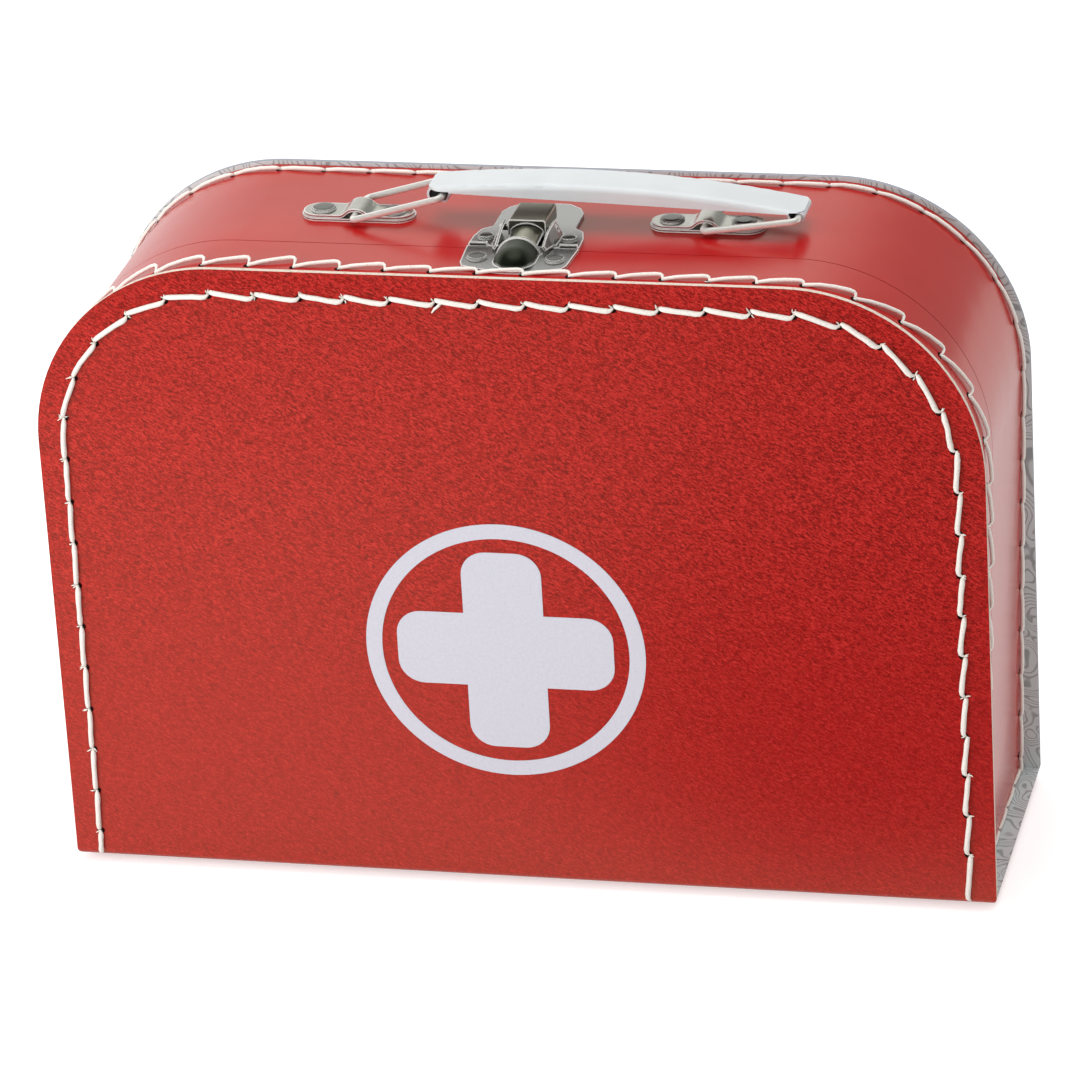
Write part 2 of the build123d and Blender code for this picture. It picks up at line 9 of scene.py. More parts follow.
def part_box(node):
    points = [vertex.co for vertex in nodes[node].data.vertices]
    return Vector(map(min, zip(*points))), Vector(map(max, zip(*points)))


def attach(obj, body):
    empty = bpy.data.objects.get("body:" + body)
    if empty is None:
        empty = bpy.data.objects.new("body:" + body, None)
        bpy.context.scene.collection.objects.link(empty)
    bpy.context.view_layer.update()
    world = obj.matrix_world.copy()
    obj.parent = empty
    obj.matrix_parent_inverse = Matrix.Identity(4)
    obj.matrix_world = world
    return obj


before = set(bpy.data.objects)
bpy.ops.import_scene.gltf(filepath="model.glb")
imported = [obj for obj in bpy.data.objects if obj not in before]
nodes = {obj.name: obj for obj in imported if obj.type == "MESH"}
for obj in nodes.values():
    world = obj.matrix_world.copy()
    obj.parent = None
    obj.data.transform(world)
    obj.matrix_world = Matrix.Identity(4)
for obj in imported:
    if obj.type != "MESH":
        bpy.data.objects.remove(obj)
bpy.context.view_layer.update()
MM = 0.001
rng = random.Random(7)

# ---- sizes read from the frame ----
front_lo, front_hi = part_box("front_panel")
lid_lo, lid_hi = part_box("lid_band")
base_lo, base_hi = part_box("base_band")
floor_z = front_lo.z
panel_top = front_hi.z
half_width = front_hi.x
front_y = front_lo.y
back_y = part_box("back_panel")[1].y
board = lid_lo.y - front_lo.y
band_top = base_hi.z
band_foot = base_lo.z
split_y = (lid_hi.y + base_lo.y) / 2
corner_radius = 50.5 * MM
band_inset = panel_top - band_top
band_radius = corner_radius - band_inset
# the band's sides lean: how far inside the panel they stand at the foot, and how much less
# than the band's inset at the top
foot_step = 5.2 * MM
top_overlap = 0.7 * MM
foot_half = half_width - foot_step
band_lean = (foot_step - band_inset + top_overlap) / (band_top - band_foot)

# ---- colours, linear ----
FACE_RED = (0.385, 0.0048, 0.0075, 1)
# painted shade and painted highlight of the leather grain's wrinkles
FACE_RED_PAINTED_SHADE = (0.19, 0.0025, 0.004, 1)
FACE_RED_PAINTED_HIGHLIGHT = (0.60, 0.020, 0.020, 1)
BAND_RED = (0.50, 0.0060, 0.0085, 1)
RAW_BOARD = (0.80, 0.70, 0.60, 1)
RAW_BOARD_BROWN = (0.60, 0.44, 0.33, 1)
LINING_PALE = (0.68, 0.77, 0.77, 1)
LINING_DARK = (0.37, 0.42, 0.425, 1)
LINING_EDGE = (0.40, 0.41, 0.45, 1)
THREAD = (0.95, 0.90, 0.83, 1)
THREAD_SHADE = (0.74, 0.67, 0.60, 1)
# painted shade inside the needle holes
HOLE_PAINTED_SHADE = (0.012, 0.002, 0.002, 1)
EMBLEM_WHITE = (0.645, 0.635, 0.705, 1)
GRIP_WHITE = (0.70, 0.73, 0.74, 1)
GRIP_INSIDE_PAINTED_SHADE = (0.055, 0.055, 0.06, 1)
NICKEL = (0.50, 0.50, 0.44, 1)
NICKEL_FLAT = (0.40, 0.40, 0.38, 1)
NICKEL_RIVET = (0.17, 0.17, 0.15, 1)
NICKEL_LEVER = (0.46, 0.45, 0.35, 1)
# near-black metal colour painted as the dome's dark reflection
NICKEL_PAINTED_DARK_REFLECTION = (0.075, 0.085, 0.06, 1)
# near-white painted highlight on sheet-metal edges
NICKEL_EDGE_PAINTED_HIGHLIGHT = (1.0, 0.98, 0.94, 1)
# cream-white painted reflection on the nickel wire
WIRE_PAINTED_SHINE = (0.96, 0.93, 0.87, 1)
SPRING_STEEL = (0.35, 0.35, 0.36, 1)
SHEEN_WARM = (1, 0.80, 0.50, 1)
BAND_SHEEN = (1, 0.90, 0.48, 1)

# painted highlight along the edges of bent sheet metal: its width, and the range of agreement between the
# rounded normal and the true one over which the edge turns into the flat
EDGE_WIDTH = 0.65 * MM
EDGE_FACING = (0.93, 0.998)

# slow unevenness of the board under the paper
BOARD_SWELL = 4 * MM

# the face's margin outside the seam, which bends back a little
MARGIN_WIDTH = 7 * MM
MARGIN_DROP = 0.35 * MM

# leather wrinkles: waves per metre, tilt in degrees below the horizontal, length against width
WRINKLE_SCALE = 2050
PORE_SCALE = 3200
PORE_SHARE = 0.35
GRAIN_TILT = 28
GRAIN_STRETCH = (2.3, 1.0, 0.8)
GRAIN_DEPTH = 0.09 * MM
# heights of the grain at which the paper takes its painted shade, its plain red and its painted highlight
GRAIN_STOPS = (0.54, 0.67, 0.80)
# mean height of the grain, and the frame heights between which its painted shade and highlight gain
# strength
GRAIN_MEAN = 0.675
GRAIN_WEAK_Z = 40 * MM
GRAIN_STRONG_Z = 130 * MM
GRAIN_WEAKEST = 0.45

# contour lines of the lining
SWIRL_SCALE = 52
SWIRL_RINGS = 135.0


# ---- shader helpers ----
def new_material(name):
    mat = bpy.data.materials.new(name)
    mat.use_nodes = True
    tree = mat.node_tree
    bsdf = tree.nodes["Principled BSDF"]
    return mat, tree, bsdf


def add_node(tree, kind, **values):
    node = tree.nodes.new(kind)
    for key, value in values.items():
        setattr(node, key, value)
    return node


def object_coords(tree):
    return add_node(tree, "ShaderNodeTexCoord").outputs["Object"]


def noise(tree, coords, scale, detail=3.0, rough=0.55, distortion=0.0):
    node = add_node(tree, "ShaderNodeTexNoise")
    node.inputs["Scale"].default_value = scale
    node.inputs["Detail"].default_value = detail
    node.inputs["Roughness"].default_value = rough
    node.inputs["Distortion"].default_value = distortion
    tree.links.new(coords, node.inputs["Vector"])
    return node.outputs["Fac"]


def ramp(tree, fac, stops):
    node = add_node(tree, "ShaderNodeValToRGB")
    band = node.color_ramp
    while len(band.elements) < len(stops):
        band.elements.new(0.5)
    for element, (place, colour) in zip(band.elements, stops):
        element.position = place
        element.color = colour
    tree.links.new(fac, node.inputs["Fac"])
    return node.outputs["Color"]


def bump(tree, height, strength, distance, normal=None):
    node = add_node(tree, "ShaderNodeBump")
    node.inputs["Strength"].default_value = strength
    node.inputs["Distance"].default_value = distance
    tree.links.new(height, node.inputs["Height"])
    if normal is not None:
        tree.links.new(normal, node.inputs["Normal"])
    return node.outputs["Normal"]


def math_node(tree, operation, first, second=None, third=None):
    node = add_node(tree, "ShaderNodeMath", operation=operation)
    for place, value in enumerate((first, second, third)):
        if isinstance(value, (int, float)):
            node.inputs[place].default_value = value
        elif value is not None:
            tree.links.new(value, node.inputs[place])
    return node.outputs["Value"]


def smooth_range(tree, value, low, high, to_low=0.0, to_high=1.0):
    node = add_node(tree, "ShaderNodeMapRange", interpolation_type="SMOOTHSTEP")
    tree.links.new(value, node.inputs["Value"])
    node.inputs["From Min"].default_value = low
    node.inputs["From Max"].default_value = high
    node.inputs["To Min"].default_value = to_low
    node.inputs["To Max"].default_value = to_high
    return node.outputs["Result"]


def split_axes(tree, vector):
    node = add_node(tree, "ShaderNodeSeparateXYZ")
    tree.links.new(vector, node.inputs[0])
    return node.outputs


def eased_margin(tree, coords):
    # 1 over the panel, falling to 0 across the margin outside the seam
    axes = split_axes(tree, coords)
    aside = math_node(tree, "ABSOLUTE", axes["X"])
    past_x = math_node(tree, "SUBTRACT", aside, half_width - corner_radius)
    past_z = math_node(tree, "SUBTRACT", axes["Z"], panel_top - corner_radius)
    dx = math_node(tree, "MAXIMUM", past_x, 0.0)
    dz = math_node(tree, "MAXIMUM", past_z, 0.0)
    square = math_node(tree, "MULTIPLY_ADD", dx, dx, math_node(tree, "MULTIPLY", dz, dz))
    reach = math_node(tree, "SQRT", square)
    return smooth_range(tree, reach, corner_radius - MARGIN_WIDTH, corner_radius, 1.0, 0.0)


def leather_paper():
    # fine leather grain pressed into red paper: short wrinkles running down to the right
    mat, tree, bsdf = new_material("face_leather_paper")
    coords = object_coords(tree)
    slant = add_node(tree, "ShaderNodeMapping", vector_type="TEXTURE")
    slant.inputs["Rotation"].default_value = (0, math.radians(GRAIN_TILT), 0)
    slant.inputs["Scale"].default_value = GRAIN_STRETCH
    tree.links.new(coords, slant.inputs["Vector"])
    wrinkles = noise(tree, slant.outputs["Vector"], WRINKLE_SCALE, 2.0, 0.6, 0.8)
    pores = noise(tree, coords, PORE_SCALE, 2.0, 0.6)
    height = math_node(tree, "MULTIPLY_ADD", pores, PORE_SHARE, wrinkles)
    # the painted shade and highlight of the wrinkles grow stronger towards the top
    rise = split_axes(tree, coords)["Z"]
    depth = smooth_range(tree, rise, GRAIN_WEAK_Z, GRAIN_STRONG_Z, GRAIN_WEAKEST, 1.0)
    swing = math_node(tree, "MULTIPLY", math_node(tree, "SUBTRACT", height, GRAIN_MEAN), depth)
    shade = math_node(tree, "ADD", swing, GRAIN_MEAN)
    # the grain's dark and light reds are painted shade and painted highlight of the wrinkles' relief
    reds = zip(GRAIN_STOPS, (FACE_RED_PAINTED_SHADE, FACE_RED, FACE_RED_PAINTED_HIGHLIGHT))
    tree.links.new(ramp(tree, shade, list(reds)), bsdf.inputs["Base Color"])
    first = bump(tree, eased_margin(tree, coords), 1.0, MARGIN_DROP)
    board_waves = noise(tree, coords, 16, 2.0)
    second = bump(tree, board_waves, 0.10, BOARD_SWELL, first)
    tree.links.new(bump(tree, height, 1.0, GRAIN_DEPTH, second), bsdf.inputs["Normal"])
    bsdf.inputs["Roughness"].default_value = 0.24
    bsdf.inputs["Specular IOR Level"].default_value = 0.72
    bsdf.inputs["Specular Tint"].default_value = SHEEN_WARM
    return mat


def coated_paper():
    # smooth red coated paper, slightly uneven over the board
    mat, tree, bsdf = new_material("band_coated_paper")
    coords = object_coords(tree)
    soft = noise(tree, coords, 28, 2.0)
    fine = noise(tree, coords, 900, 2.0)
    dark = tuple(c * 0.9 for c in BAND_RED[:3]) + (1,)
    tree.links.new(ramp(tree, soft, [(0.3, dark), (0.7, BAND_RED)]), bsdf.inputs["Base Color"])
    first = bump(tree, soft, 0.10, BOARD_SWELL)
    tree.links.new(bump(tree, fine, 0.05, 0.0002, first), bsdf.inputs["Normal"])
    bsdf.inputs["Roughness"].default_value = 0.22
    bsdf.inputs["Specular IOR Level"].default_value = 0.6
    bsdf.inputs["Specular Tint"].default_value = BAND_SHEEN
    return mat


def raw_board():
    # cut edge of grey-white board, fibrous
    mat, tree, bsdf = new_material("raw_board_edge")
    fibres = noise(tree, object_coords(tree), 1600, 4.0)
    tree.links.new(
        ramp(tree, fibres, [(0.3, RAW_BOARD_BROWN), (0.5, RAW_BOARD)]), bsdf.inputs["Base Color"]
    )
    tree.links.new(bump(tree, fibres, 0.4, 0.0003), bsdf.inputs["Normal"])
    bsdf.inputs["Roughness"].default_value = 0.85
    return mat


def marbled_lining():
    # pale grey paper printed with thin contour-like swirls
    mat, tree, bsdf = new_material("marbled_lining")
    coords = object_coords(tree)
    field = noise(tree, coords, SWIRL_SCALE, 1.2, 0.42, 1.1)
    rings = math_node(tree, "SINE", math_node(tree, "MULTIPLY", field, SWIRL_RINGS))
    wave = math_node(tree, "MULTIPLY_ADD", rings, 0.5, 0.5)
    tree.links.new(
        ramp(tree, wave, [(0.03, LINING_DARK), (0.30, LINING_PALE)]), bsdf.inputs["Base Color"]
    )
    fibres = noise(tree, coords, 1400, 3.0)
    tree.links.new(bump(tree, fibres, 0.15, 0.0002), bsdf.inputs["Normal"])
    bsdf.inputs["Roughness"].default_value = 0.6
    return mat


def plain(name, colour, rough, metal=0.0, spec=0.5, grain=900, lift=0.04, depth=0.0001):
    mat, tree, bsdf = new_material(name)
    fine = noise(tree, object_coords(tree), grain, 3.0)
    shade = tuple(c * 0.92 for c in colour[:3]) + (1,)
    tree.links.new(ramp(tree, fine, [(0.3, shade), (0.65, colour)]), bsdf.inputs["Base Color"])
    tree.links.new(bump(tree, fine, lift, depth), bsdf.inputs["Normal"])
    bsdf.inputs["Roughness"].default_value = rough
    bsdf.inputs["Metallic"].default_value = metal
    bsdf.inputs["Specular IOR Level"].default_value = spec
    return mat


def with_painted_edge_highlight(mat):
    # rounded sheet edges painted near-white and without metal, as a highlight along each edge
    tree = mat.node_tree
    bsdf = tree.nodes["Principled BSDF"]
    rounded = add_node(tree, "ShaderNodeBevel", samples=6)
    rounded.inputs["Radius"].default_value = EDGE_WIDTH
    facing = add_node(tree, "ShaderNodeVectorMath", operation="DOT_PRODUCT")
    tree.links.new(rounded.outputs["Normal"], facing.inputs[0])
    tree.links.new(add_node(tree, "ShaderNodeNewGeometry").outputs["Normal"], facing.inputs[1])
    flat = smooth_range(tree, facing.outputs["Value"], *EDGE_FACING)
    under = bsdf.inputs["Base Color"].links[0].from_socket
    # a colour mix: input 0 is the factor, 6 and 7 are the two colours, output 2 is the colour
    mix = add_node(tree, "ShaderNodeMix", data_type="RGBA")
    tree.links.new(flat, mix.inputs[0])
    mix.inputs[6].default_value = NICKEL_EDGE_PAINTED_HIGHLIGHT
    tree.links.new(under, mix.inputs[7])
    tree.links.new(mix.outputs[2], bsdf.inputs["Base Color"])
    tree.links.new(flat, bsdf.inputs["Metallic"])
    return mat


def twisted_thread():
    # waxed white thread: fine slanted strands
    mat, tree, bsdf = new_material("waxed_thread")
    strands = noise(tree, object_coords(tree), 2600, 3.0, 0.6, 0.5)
    tree.links.new(
        ramp(tree, strands, [(0.28, THREAD_SHADE), (0.5, THREAD)]), bsdf.inputs["Base Color"]
    )
    tree.links.new(bump(tree, strands, 0.5, 0.0002), bsdf.inputs["Normal"])
    bsdf.inputs["Roughness"].default_value = 0.6
    return mat


face_red = leather_paper()
band_red = coated_paper()
cut_edge = raw_board()
grey_edge = plain("lining_cut_edge", LINING_EDGE, 0.8, spec=0.2, grain=1600, lift=0.3, depth=0.0002)
lining = marbled_lining()
thread_mat = twisted_thread()
# dark colour painted as the shade inside the needle holes
hole_shade_mat = plain("painted_hole_shade", HOLE_PAINTED_SHADE, 0.9, spec=0.1)
emblem_mat = plain("emblem_print", EMBLEM_WHITE, 0.55, spec=0.3, grain=1300, lift=0.15, depth=0.0002)
grip_mat = plain("grip_lacquer", GRIP_WHITE, 0.30, spec=0.5, grain=60, lift=0.05, depth=0.001)
# dark colour painted as the shade inside the grip's channel and curls
grip_painted_shade = plain("grip_painted_shade", GRIP_INSIDE_PAINTED_SHADE, 0.5)
nickel = with_painted_edge_highlight(plain("nickel_plate", NICKEL, 0.16, metal=1.0, grain=500, lift=0.05, depth=0.0002))
nickel_flat = with_painted_edge_highlight(plain("nickel_plate_flat", NICKEL_FLAT, 0.24, metal=1.0, grain=1500, lift=0.12))
# the dome's near-black metal colour is a painted dark reflection
dome_painted_dark = with_painted_edge_highlight(plain("nickel_painted_dark", NICKEL_PAINTED_DARK_REFLECTION, 0.34, metal=1.0, grain=500, lift=0.05))
rivet_mat = with_painted_edge_highlight(plain("nickel_rivet", NICKEL_RIVET, 0.22, metal=1.0, grain=500, lift=0.05))
lever_mat = with_painted_edge_highlight(plain("nickel_lever", NICKEL_LEVER, 0.3, metal=0.55, grain=500, lift=0.05))
# nickel wire with a half-diffuse cream-white, a painted reflection of the pale backdrop
wire_mat = plain("nickel_wire", WIRE_PAINTED_SHINE, 0.2, metal=0.5, grain=800)
spring_mat = plain("spring_strip", SPRING_STEEL, 0.35, metal=1.0)


# ---- CAD nodes get their finishes ----
# a polygon faces a way when its normal has this much of it
FACING = 0.6
# reach of the bend where a panel folds under the case
FOLD_SIZE = 2.2 * MM
# the grip's channel wall with a little play, and the length of its curled ends
GRIP_WALL = 0.85 * MM
CURL_LENGTH = 6.5 * MM
# the dome's rolled rim, and the height of the flat plate and its edge over the band
DOME_RIM = 1.3 * MM
PLATE_EDGE = 1.5 * MM


def dress(name, *mats):
    data = nodes[name].data
    data.materials.clear()
    for mat in mats:
        data.materials.append(mat)
    for poly in data.polygons:
        poly.material_index = 0
    return data


def dress_panel(name, outward):
    # 0 leather outside and under the foot, 1 lining inside, 2 cut edge, grey on the back panel
    data = dress(name, face_red, lining, cut_edge if outward < 0 else grey_edge)
    outer_y = front_y if outward < 0 else back_y
    inner_y = outer_y - outward * board
    for poly in data.polygons:
        n, c = poly.normal, poly.center
        low = c.z < floor_z + FOLD_SIZE
        outside = n.y * outward > FACING
        inside = n.y * outward < -FACING and abs(c.y - inner_y) < 0.3 * MM
        strip_top = n.z > FACING and c.z < floor_z + 1.2 * board
        bend = low and abs(c.y - outer_y) < FOLD_SIZE and abs(n.x) < 0.5
        underside = low and n.z < -0.3 and abs(c.x) < half_width - FOLD_SIZE
        if outside:
            poly.material_index = 0
        elif inside or strip_top:
            poly.material_index = 1
        elif bend or underside or n.z < -FACING:
            poly.material_index = 0
        else:
            poly.material_index = 2


def dress_band(name):
    # 0 coated outside, and on the edges where lid and base meet, 1 lining inside, 2 cut edge
    data = dress(name, band_red, lining, cut_edge)
    heart = Vector((0, 0, floor_z + 85 * MM))
    for poly in data.polygons:
        n, c = poly.normal, poly.center
        if abs(n.y) > 0.7:
            poly.material_index = 0 if abs(c.y - split_y) < 1 * MM else 2
            continue
        away = c - heart
        outside = n.x * away.x + n.z * away.z
        poly.material_index = 0 if outside > 0 else 1
        if n.z < -0.7 and c.z < band_foot + 0.5 * MM:
            poly.material_index = 2


def dress_grip():
    # 0 white lacquer outside, 1 a dark colour inside the channel and its curls, painted as their shade
    data = dress("grip", grip_mat, grip_painted_shade)
    lo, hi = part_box("grip")
    mid_y = (lo.y + hi.y) / 2
    inner = (hi.y - lo.y) / 2 - GRIP_WALL
    for poly in data.polygons:
        n, c = poly.normal, poly.center
        within = abs(c.y - mid_y) < inner
        toward_middle = n.y * (c.y - mid_y) < 0 and abs(n.y) > 0.7
        near_end = min(c.x - lo.x, hi.x - c.x) < CURL_LENGTH
        if not near_end:
            poly.material_index = 1 if within and (n.z < -0.2 or toward_middle) else 0
        elif abs(n.y) < 0.7:
            bar_x, bar_z = grip_ends[0] if c.x < (lo.x + hi.x) / 2 else grip_ends[1]
            to_bar = Vector((bar_x - c.x, bar_z - c.z))
            poly.material_index = 1 if to_bar.x * n.x + to_bar.y * n.z > 0 else 0
        elif toward_middle and within:
            poly.material_index = 1


def dress_dome():
    # 0 flat plate and the rolled rim of the dome, 1 the dome, which mirrors the dark room and also has a
    # near-black metal colour painted as dark reflection
    data = dress("latch_strike_plate", nickel_flat, dome_painted_dark)
    rim_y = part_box("latch_strike_plate")[1].y - DOME_RIM
    for poly in data.polygons:
        c = poly.center
        if c.z > band_top + PLATE_EDGE and c.y < rim_y:
            poly.material_index = 1


# x and z of the links' upper wire bars, which the grip's ends curl round
wire_radius = 0.9 * MM
bar_corners = [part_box(name)[1] for name in ("left_link", "right_link")]
grip_ends = [(top.x - wire_radius - 1.0 * MM, top.z - wire_radius) for top in bar_corners]
# nodes with one finish all over; rivets have their own, and the other metal is bright nickel
finishes = {
    "left_link": wire_mat,
    "right_link": wire_mat,
    "latch_spring": spring_mat,
    "latch_lever": lever_mat,
    "latch_base_plate": nickel_flat,
    "bracket_plate_left": nickel_flat,
    "bracket_plate_right": nickel_flat,
}
shaped = ("front_panel", "back_panel", "lid_band", "base_band", "grip", "latch_strike_plate")
for name in nodes:
    if name not in shaped:
        dress(name, rivet_mat if "rivets" in name else finishes.get(name, nickel))
dress_panel("front_panel", outward=-1)
dress_panel("back_panel", outward=1)
dress_band("lid_band")
dress_band("base_band")
dress_grip()
dress_dome()


# ---- mesh helpers ----
def finish_piece(name, bm, mat, body, smooth=True):
    data = bpy.data.meshes.new(name)
    bmesh.ops.recalc_face_normals(bm, faces=bm.faces)
    bm.to_mesh(data)
    bm.free()
    data.materials.append(mat)
    for poly in data.polygons:
        poly.use_smooth = smooth
    piece = bpy.data.objects.new(name, data)
    bpy.context.scene.collection.objects.link(piece)
    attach(piece, body)


def join_loops(bm, one, two):
    # a closed belt of quads between two loops of as many vertices
    count = len(one)
    for k in range(count):
        bm.faces.new((one[k], one[(k + 1) % count], two[(k + 1) % count], two[k]))


def tube(bm, points, radii, sides=8):
    # closed tube through points, with one radius per point and a flat cap at each end
    rings = []
    for i, p in enumerate(points):
        ahead = points[min(i + 1, len(points) - 1)] - points[max(i - 1, 0)]
        ahead.normalize()
        side = ahead.orthogonal().normalized() if i == 0 else (side - ahead * side.dot(ahead)).normalized()
        up = ahead.cross(side)
        ring = []
        for k in range(sides):
            a = 2 * math.pi * k / sides
            ring.append(bm.verts.new(p + (side * math.cos(a) + up * math.sin(a)) * radii[i]))
        rings.append(ring)
    for one, two in zip(rings, rings[1:]):
        join_loops(bm, one, two)
    bm.faces.new(list(reversed(rings[0])))
    bm.faces.new(rings[-1])


# ---- paths along the sewn edges ----
def arch_path(inset, band):
    # points run from the left foot over the top to the right foot, 1 mm apart
    if band:
        radius = band_radius - inset
        top = band_top - inset
        lean = band_lean
        low = foot_half - inset
        start = band_foot
    else:
        radius = corner_radius - inset
        top = panel_top - inset
        lean = 0.0
        low = half_width - inset
        start = floor_z
    high = low + (top - start) * lean
    reach = radius * math.tan((math.pi / 2 + math.atan(lean)) / 2)
    direction = Vector((-lean, 1)).normalized()
    corner = Vector((-high, top))
    side_end = corner - direction * reach
    first = Vector((-low, start))
    centre = Vector((corner.x + reach, top - radius))
    points = []
    length = (side_end - first).length
    for i in range(int(length / MM)):
        points.append(first + direction * (i * MM))
    begin = math.atan2(side_end.y - centre.y, side_end.x - centre.x) % (2 * math.pi)
    steps = int(radius * abs(begin - math.pi / 2) / MM)
    for i in range(steps):
        a = begin + (math.pi / 2 - begin) * i / steps
        points.append(centre + Vector((math.cos(a), math.sin(a))) * radius)
    flat = -centre.x
    for i in range(int(flat / MM)):
        points.append(Vector((centre.x + i * MM, top)))
    mirror = [Vector((-p.x, p.y)) for p in reversed(points)]
    return points + [Vector((0, top))] + mirror


def measure(points):
    total = [0.0]
    for a, b in zip(points, points[1:]):
        total.append(total[-1] + (b - a).length)
    return total


def at(points, total, s):
    # place and direction at arc length s
    s = max(0.0, min(total[-1] - 1e-9, s))
    lo, hi = 0, len(total) - 1
    while hi - lo > 1:
        mid = (lo + hi) // 2
        if total[mid] <= s:
            lo = mid
        else:
            hi = mid
    t = (s - total[lo]) / max(total[hi] - total[lo], 1e-9)
    return points[lo].lerp(points[hi], t), (points[hi] - points[lo]).normalized()


# ---- sewn rows: the thread, and the machine's feed over the face ----
thread_radius = 0.68 * MM
hole_radius = 0.95 * MM
HOLE_SIDES = 12
feed = 11.77 * MM
feed_drift = 5.2 * MM
feed_play = 0.25 * MM
first_hole = 8.0 * MM
hole_count = 44
face_inset = 7.0 * MM
face_slant = 1.12 * MM
# rows start and end this far from the edge they run to; a band row's holes keep further off
face_row_end = 0.9 * MM
band_row_end = 1.2 * MM
band_hole_end = 4 * MM
# the hole, from the left foot, that a loose thread tail hangs from
tail_hole = 20
# the thread lies pulled tighter, and so thinner, over the band
band_thread = 0.84
# the short rows at the band's feet: height above the foot, stitch length and gap
foot_rise = 1.5 * MM
foot_feed = 12.4 * MM
foot_gap = 1.0 * MM

# one stitch of each kind: share of its length, place across, height and thickness
FACE_STITCH = (
    (0.0, 0.62, -0.35, 0.7),
    (0.05, 0.58, 0.55, 0.95),
    (0.16, 0.42, 0.85, 1.08),
    (0.4, 0.06, 0.95, 1.0),
    (0.65, -0.28, 0.95, 1.05),
    (0.86, -0.55, 0.85, 1.1),
    (0.95, -0.5, 0.7, 0.9),
    (0.99, -0.2, 0.45, 0.62),
    (1.03, 0.15, -0.3, 0.45),
)
# over the band the height has two shares, of the thread's radius and of the row's lift
BAND_STITCH = (
    (0.0, 0.0, -0.3, 0.0, 0.75),
    (0.03, 0.03, 0.5, 0.0, 0.92),
    (0.3, 0.34, 0.9, 0.4, 0.95),
    (0.6, 0.66, 0.9, 0.8, 0.95),
    (0.88, 0.94, 0.9, 1.0, 0.95),
    (0.97, 0.98, 0.8, 1.0, 0.9),
    (1.01, 0.86, 0.7, 0.8, 0.75),
    (1.03, 0.5, 0.5, 0.5, 0.6),
    (1.03, 0.2, 0.3, 0.0, 0.55),
    (1.02, 0.05, -0.3, 0.0, 0.5),
)
# at the feet there is no place across
FOOT_STITCH = (
    (0, -0.3, 0.5),
    (0.08, 0.5, 0.7),
    (0.5, 0.8, 0.75),
    (0.92, 0.5, 0.7),
    (1, -0.3, 0.5),
)
# points of the loose tail in mm along, across and off the face, with the thread's radius
THREAD_TAIL = (
    (1.6, 0, 0.3, 0.5),
    (0.9, -0.8, 0.8, 0.42),
    (0.0, -1.5, 0.7, 0.36),
    (-0.9, -2.7, 0.5, 0.2),
)


def hole_fractions(total):
    # needle holes along the face row, as shares of its whole length
    out = []
    for n in range(hole_count):
        drift = feed_drift * math.sin(math.pi * n / (hole_count - 1))
        out.append((first_hole + n * feed + drift + rng.uniform(-feed_play, feed_play)) / total)
    return out


def eased(value, start, length):
    # 0 up to start, then straight up to 1 over length
    return min(1.0, max(0.0, (value - start) / length))


def slope_at(share):
    # stitches lie almost along the row at the left, slant most over the top and less after it
    return 0.30 + 0.70 * eased(share, 0.22, 0.12) - 0.22 * eased(share, 0.64, 0.10)


def stitch(bm, spots):
    # spots are pairs of a point and a thickness, as a share of the thread's radius
    points = [spot[0] for spot in spots]
    radii = [thread_radius * spot[1] * (1 + rng.uniform(-0.06, 0.06)) for spot in spots]
    tube(bm, points, radii)


def wisps(bm, place, s, side, count):
    # torn fibres that stand out of a needle hole
    for _ in range(count):
        run = rng.uniform(-0.9, 0.7) * MM
        reach = side * rng.uniform(0.9, 1.8) * MM
        a = place(s + 0.2 * run, 0.25 * reach, 0.05 * MM)
        b = place(s + 0.7 * run, 0.7 * reach, rng.uniform(0.2, 0.5) * MM)
        c = place(s + run + rng.uniform(-0.3, 0.3) * MM, reach, rng.uniform(0.15, 0.6) * MM)
        tube(bm, [a, b, c], [0.24 * MM, 0.18 * MM, 0.08 * MM], sides=5)


def painted_hole_shade(bm, place, s, across):
    # a flat uneven dimple in a dark colour, painted as the shade inside a needle hole, a little wider than
    # long
    ring = []
    for k in range(HOLE_SIDES):
        a = 2 * math.pi * k / HOLE_SIDES
        along = hole_radius * math.cos(a) * (1 + rng.uniform(-0.12, 0.12))
        wide = 1.15 * hole_radius * math.sin(a)
        ring.append(bm.verts.new(place(s + along, across + wide, 0.07 * MM)))
    hub = bm.verts.new(place(s, across, 0.03 * MM))
    for k in range(HOLE_SIDES):
        bm.faces.new((hub, ring[k], ring[(k + 1) % HOLE_SIDES]))


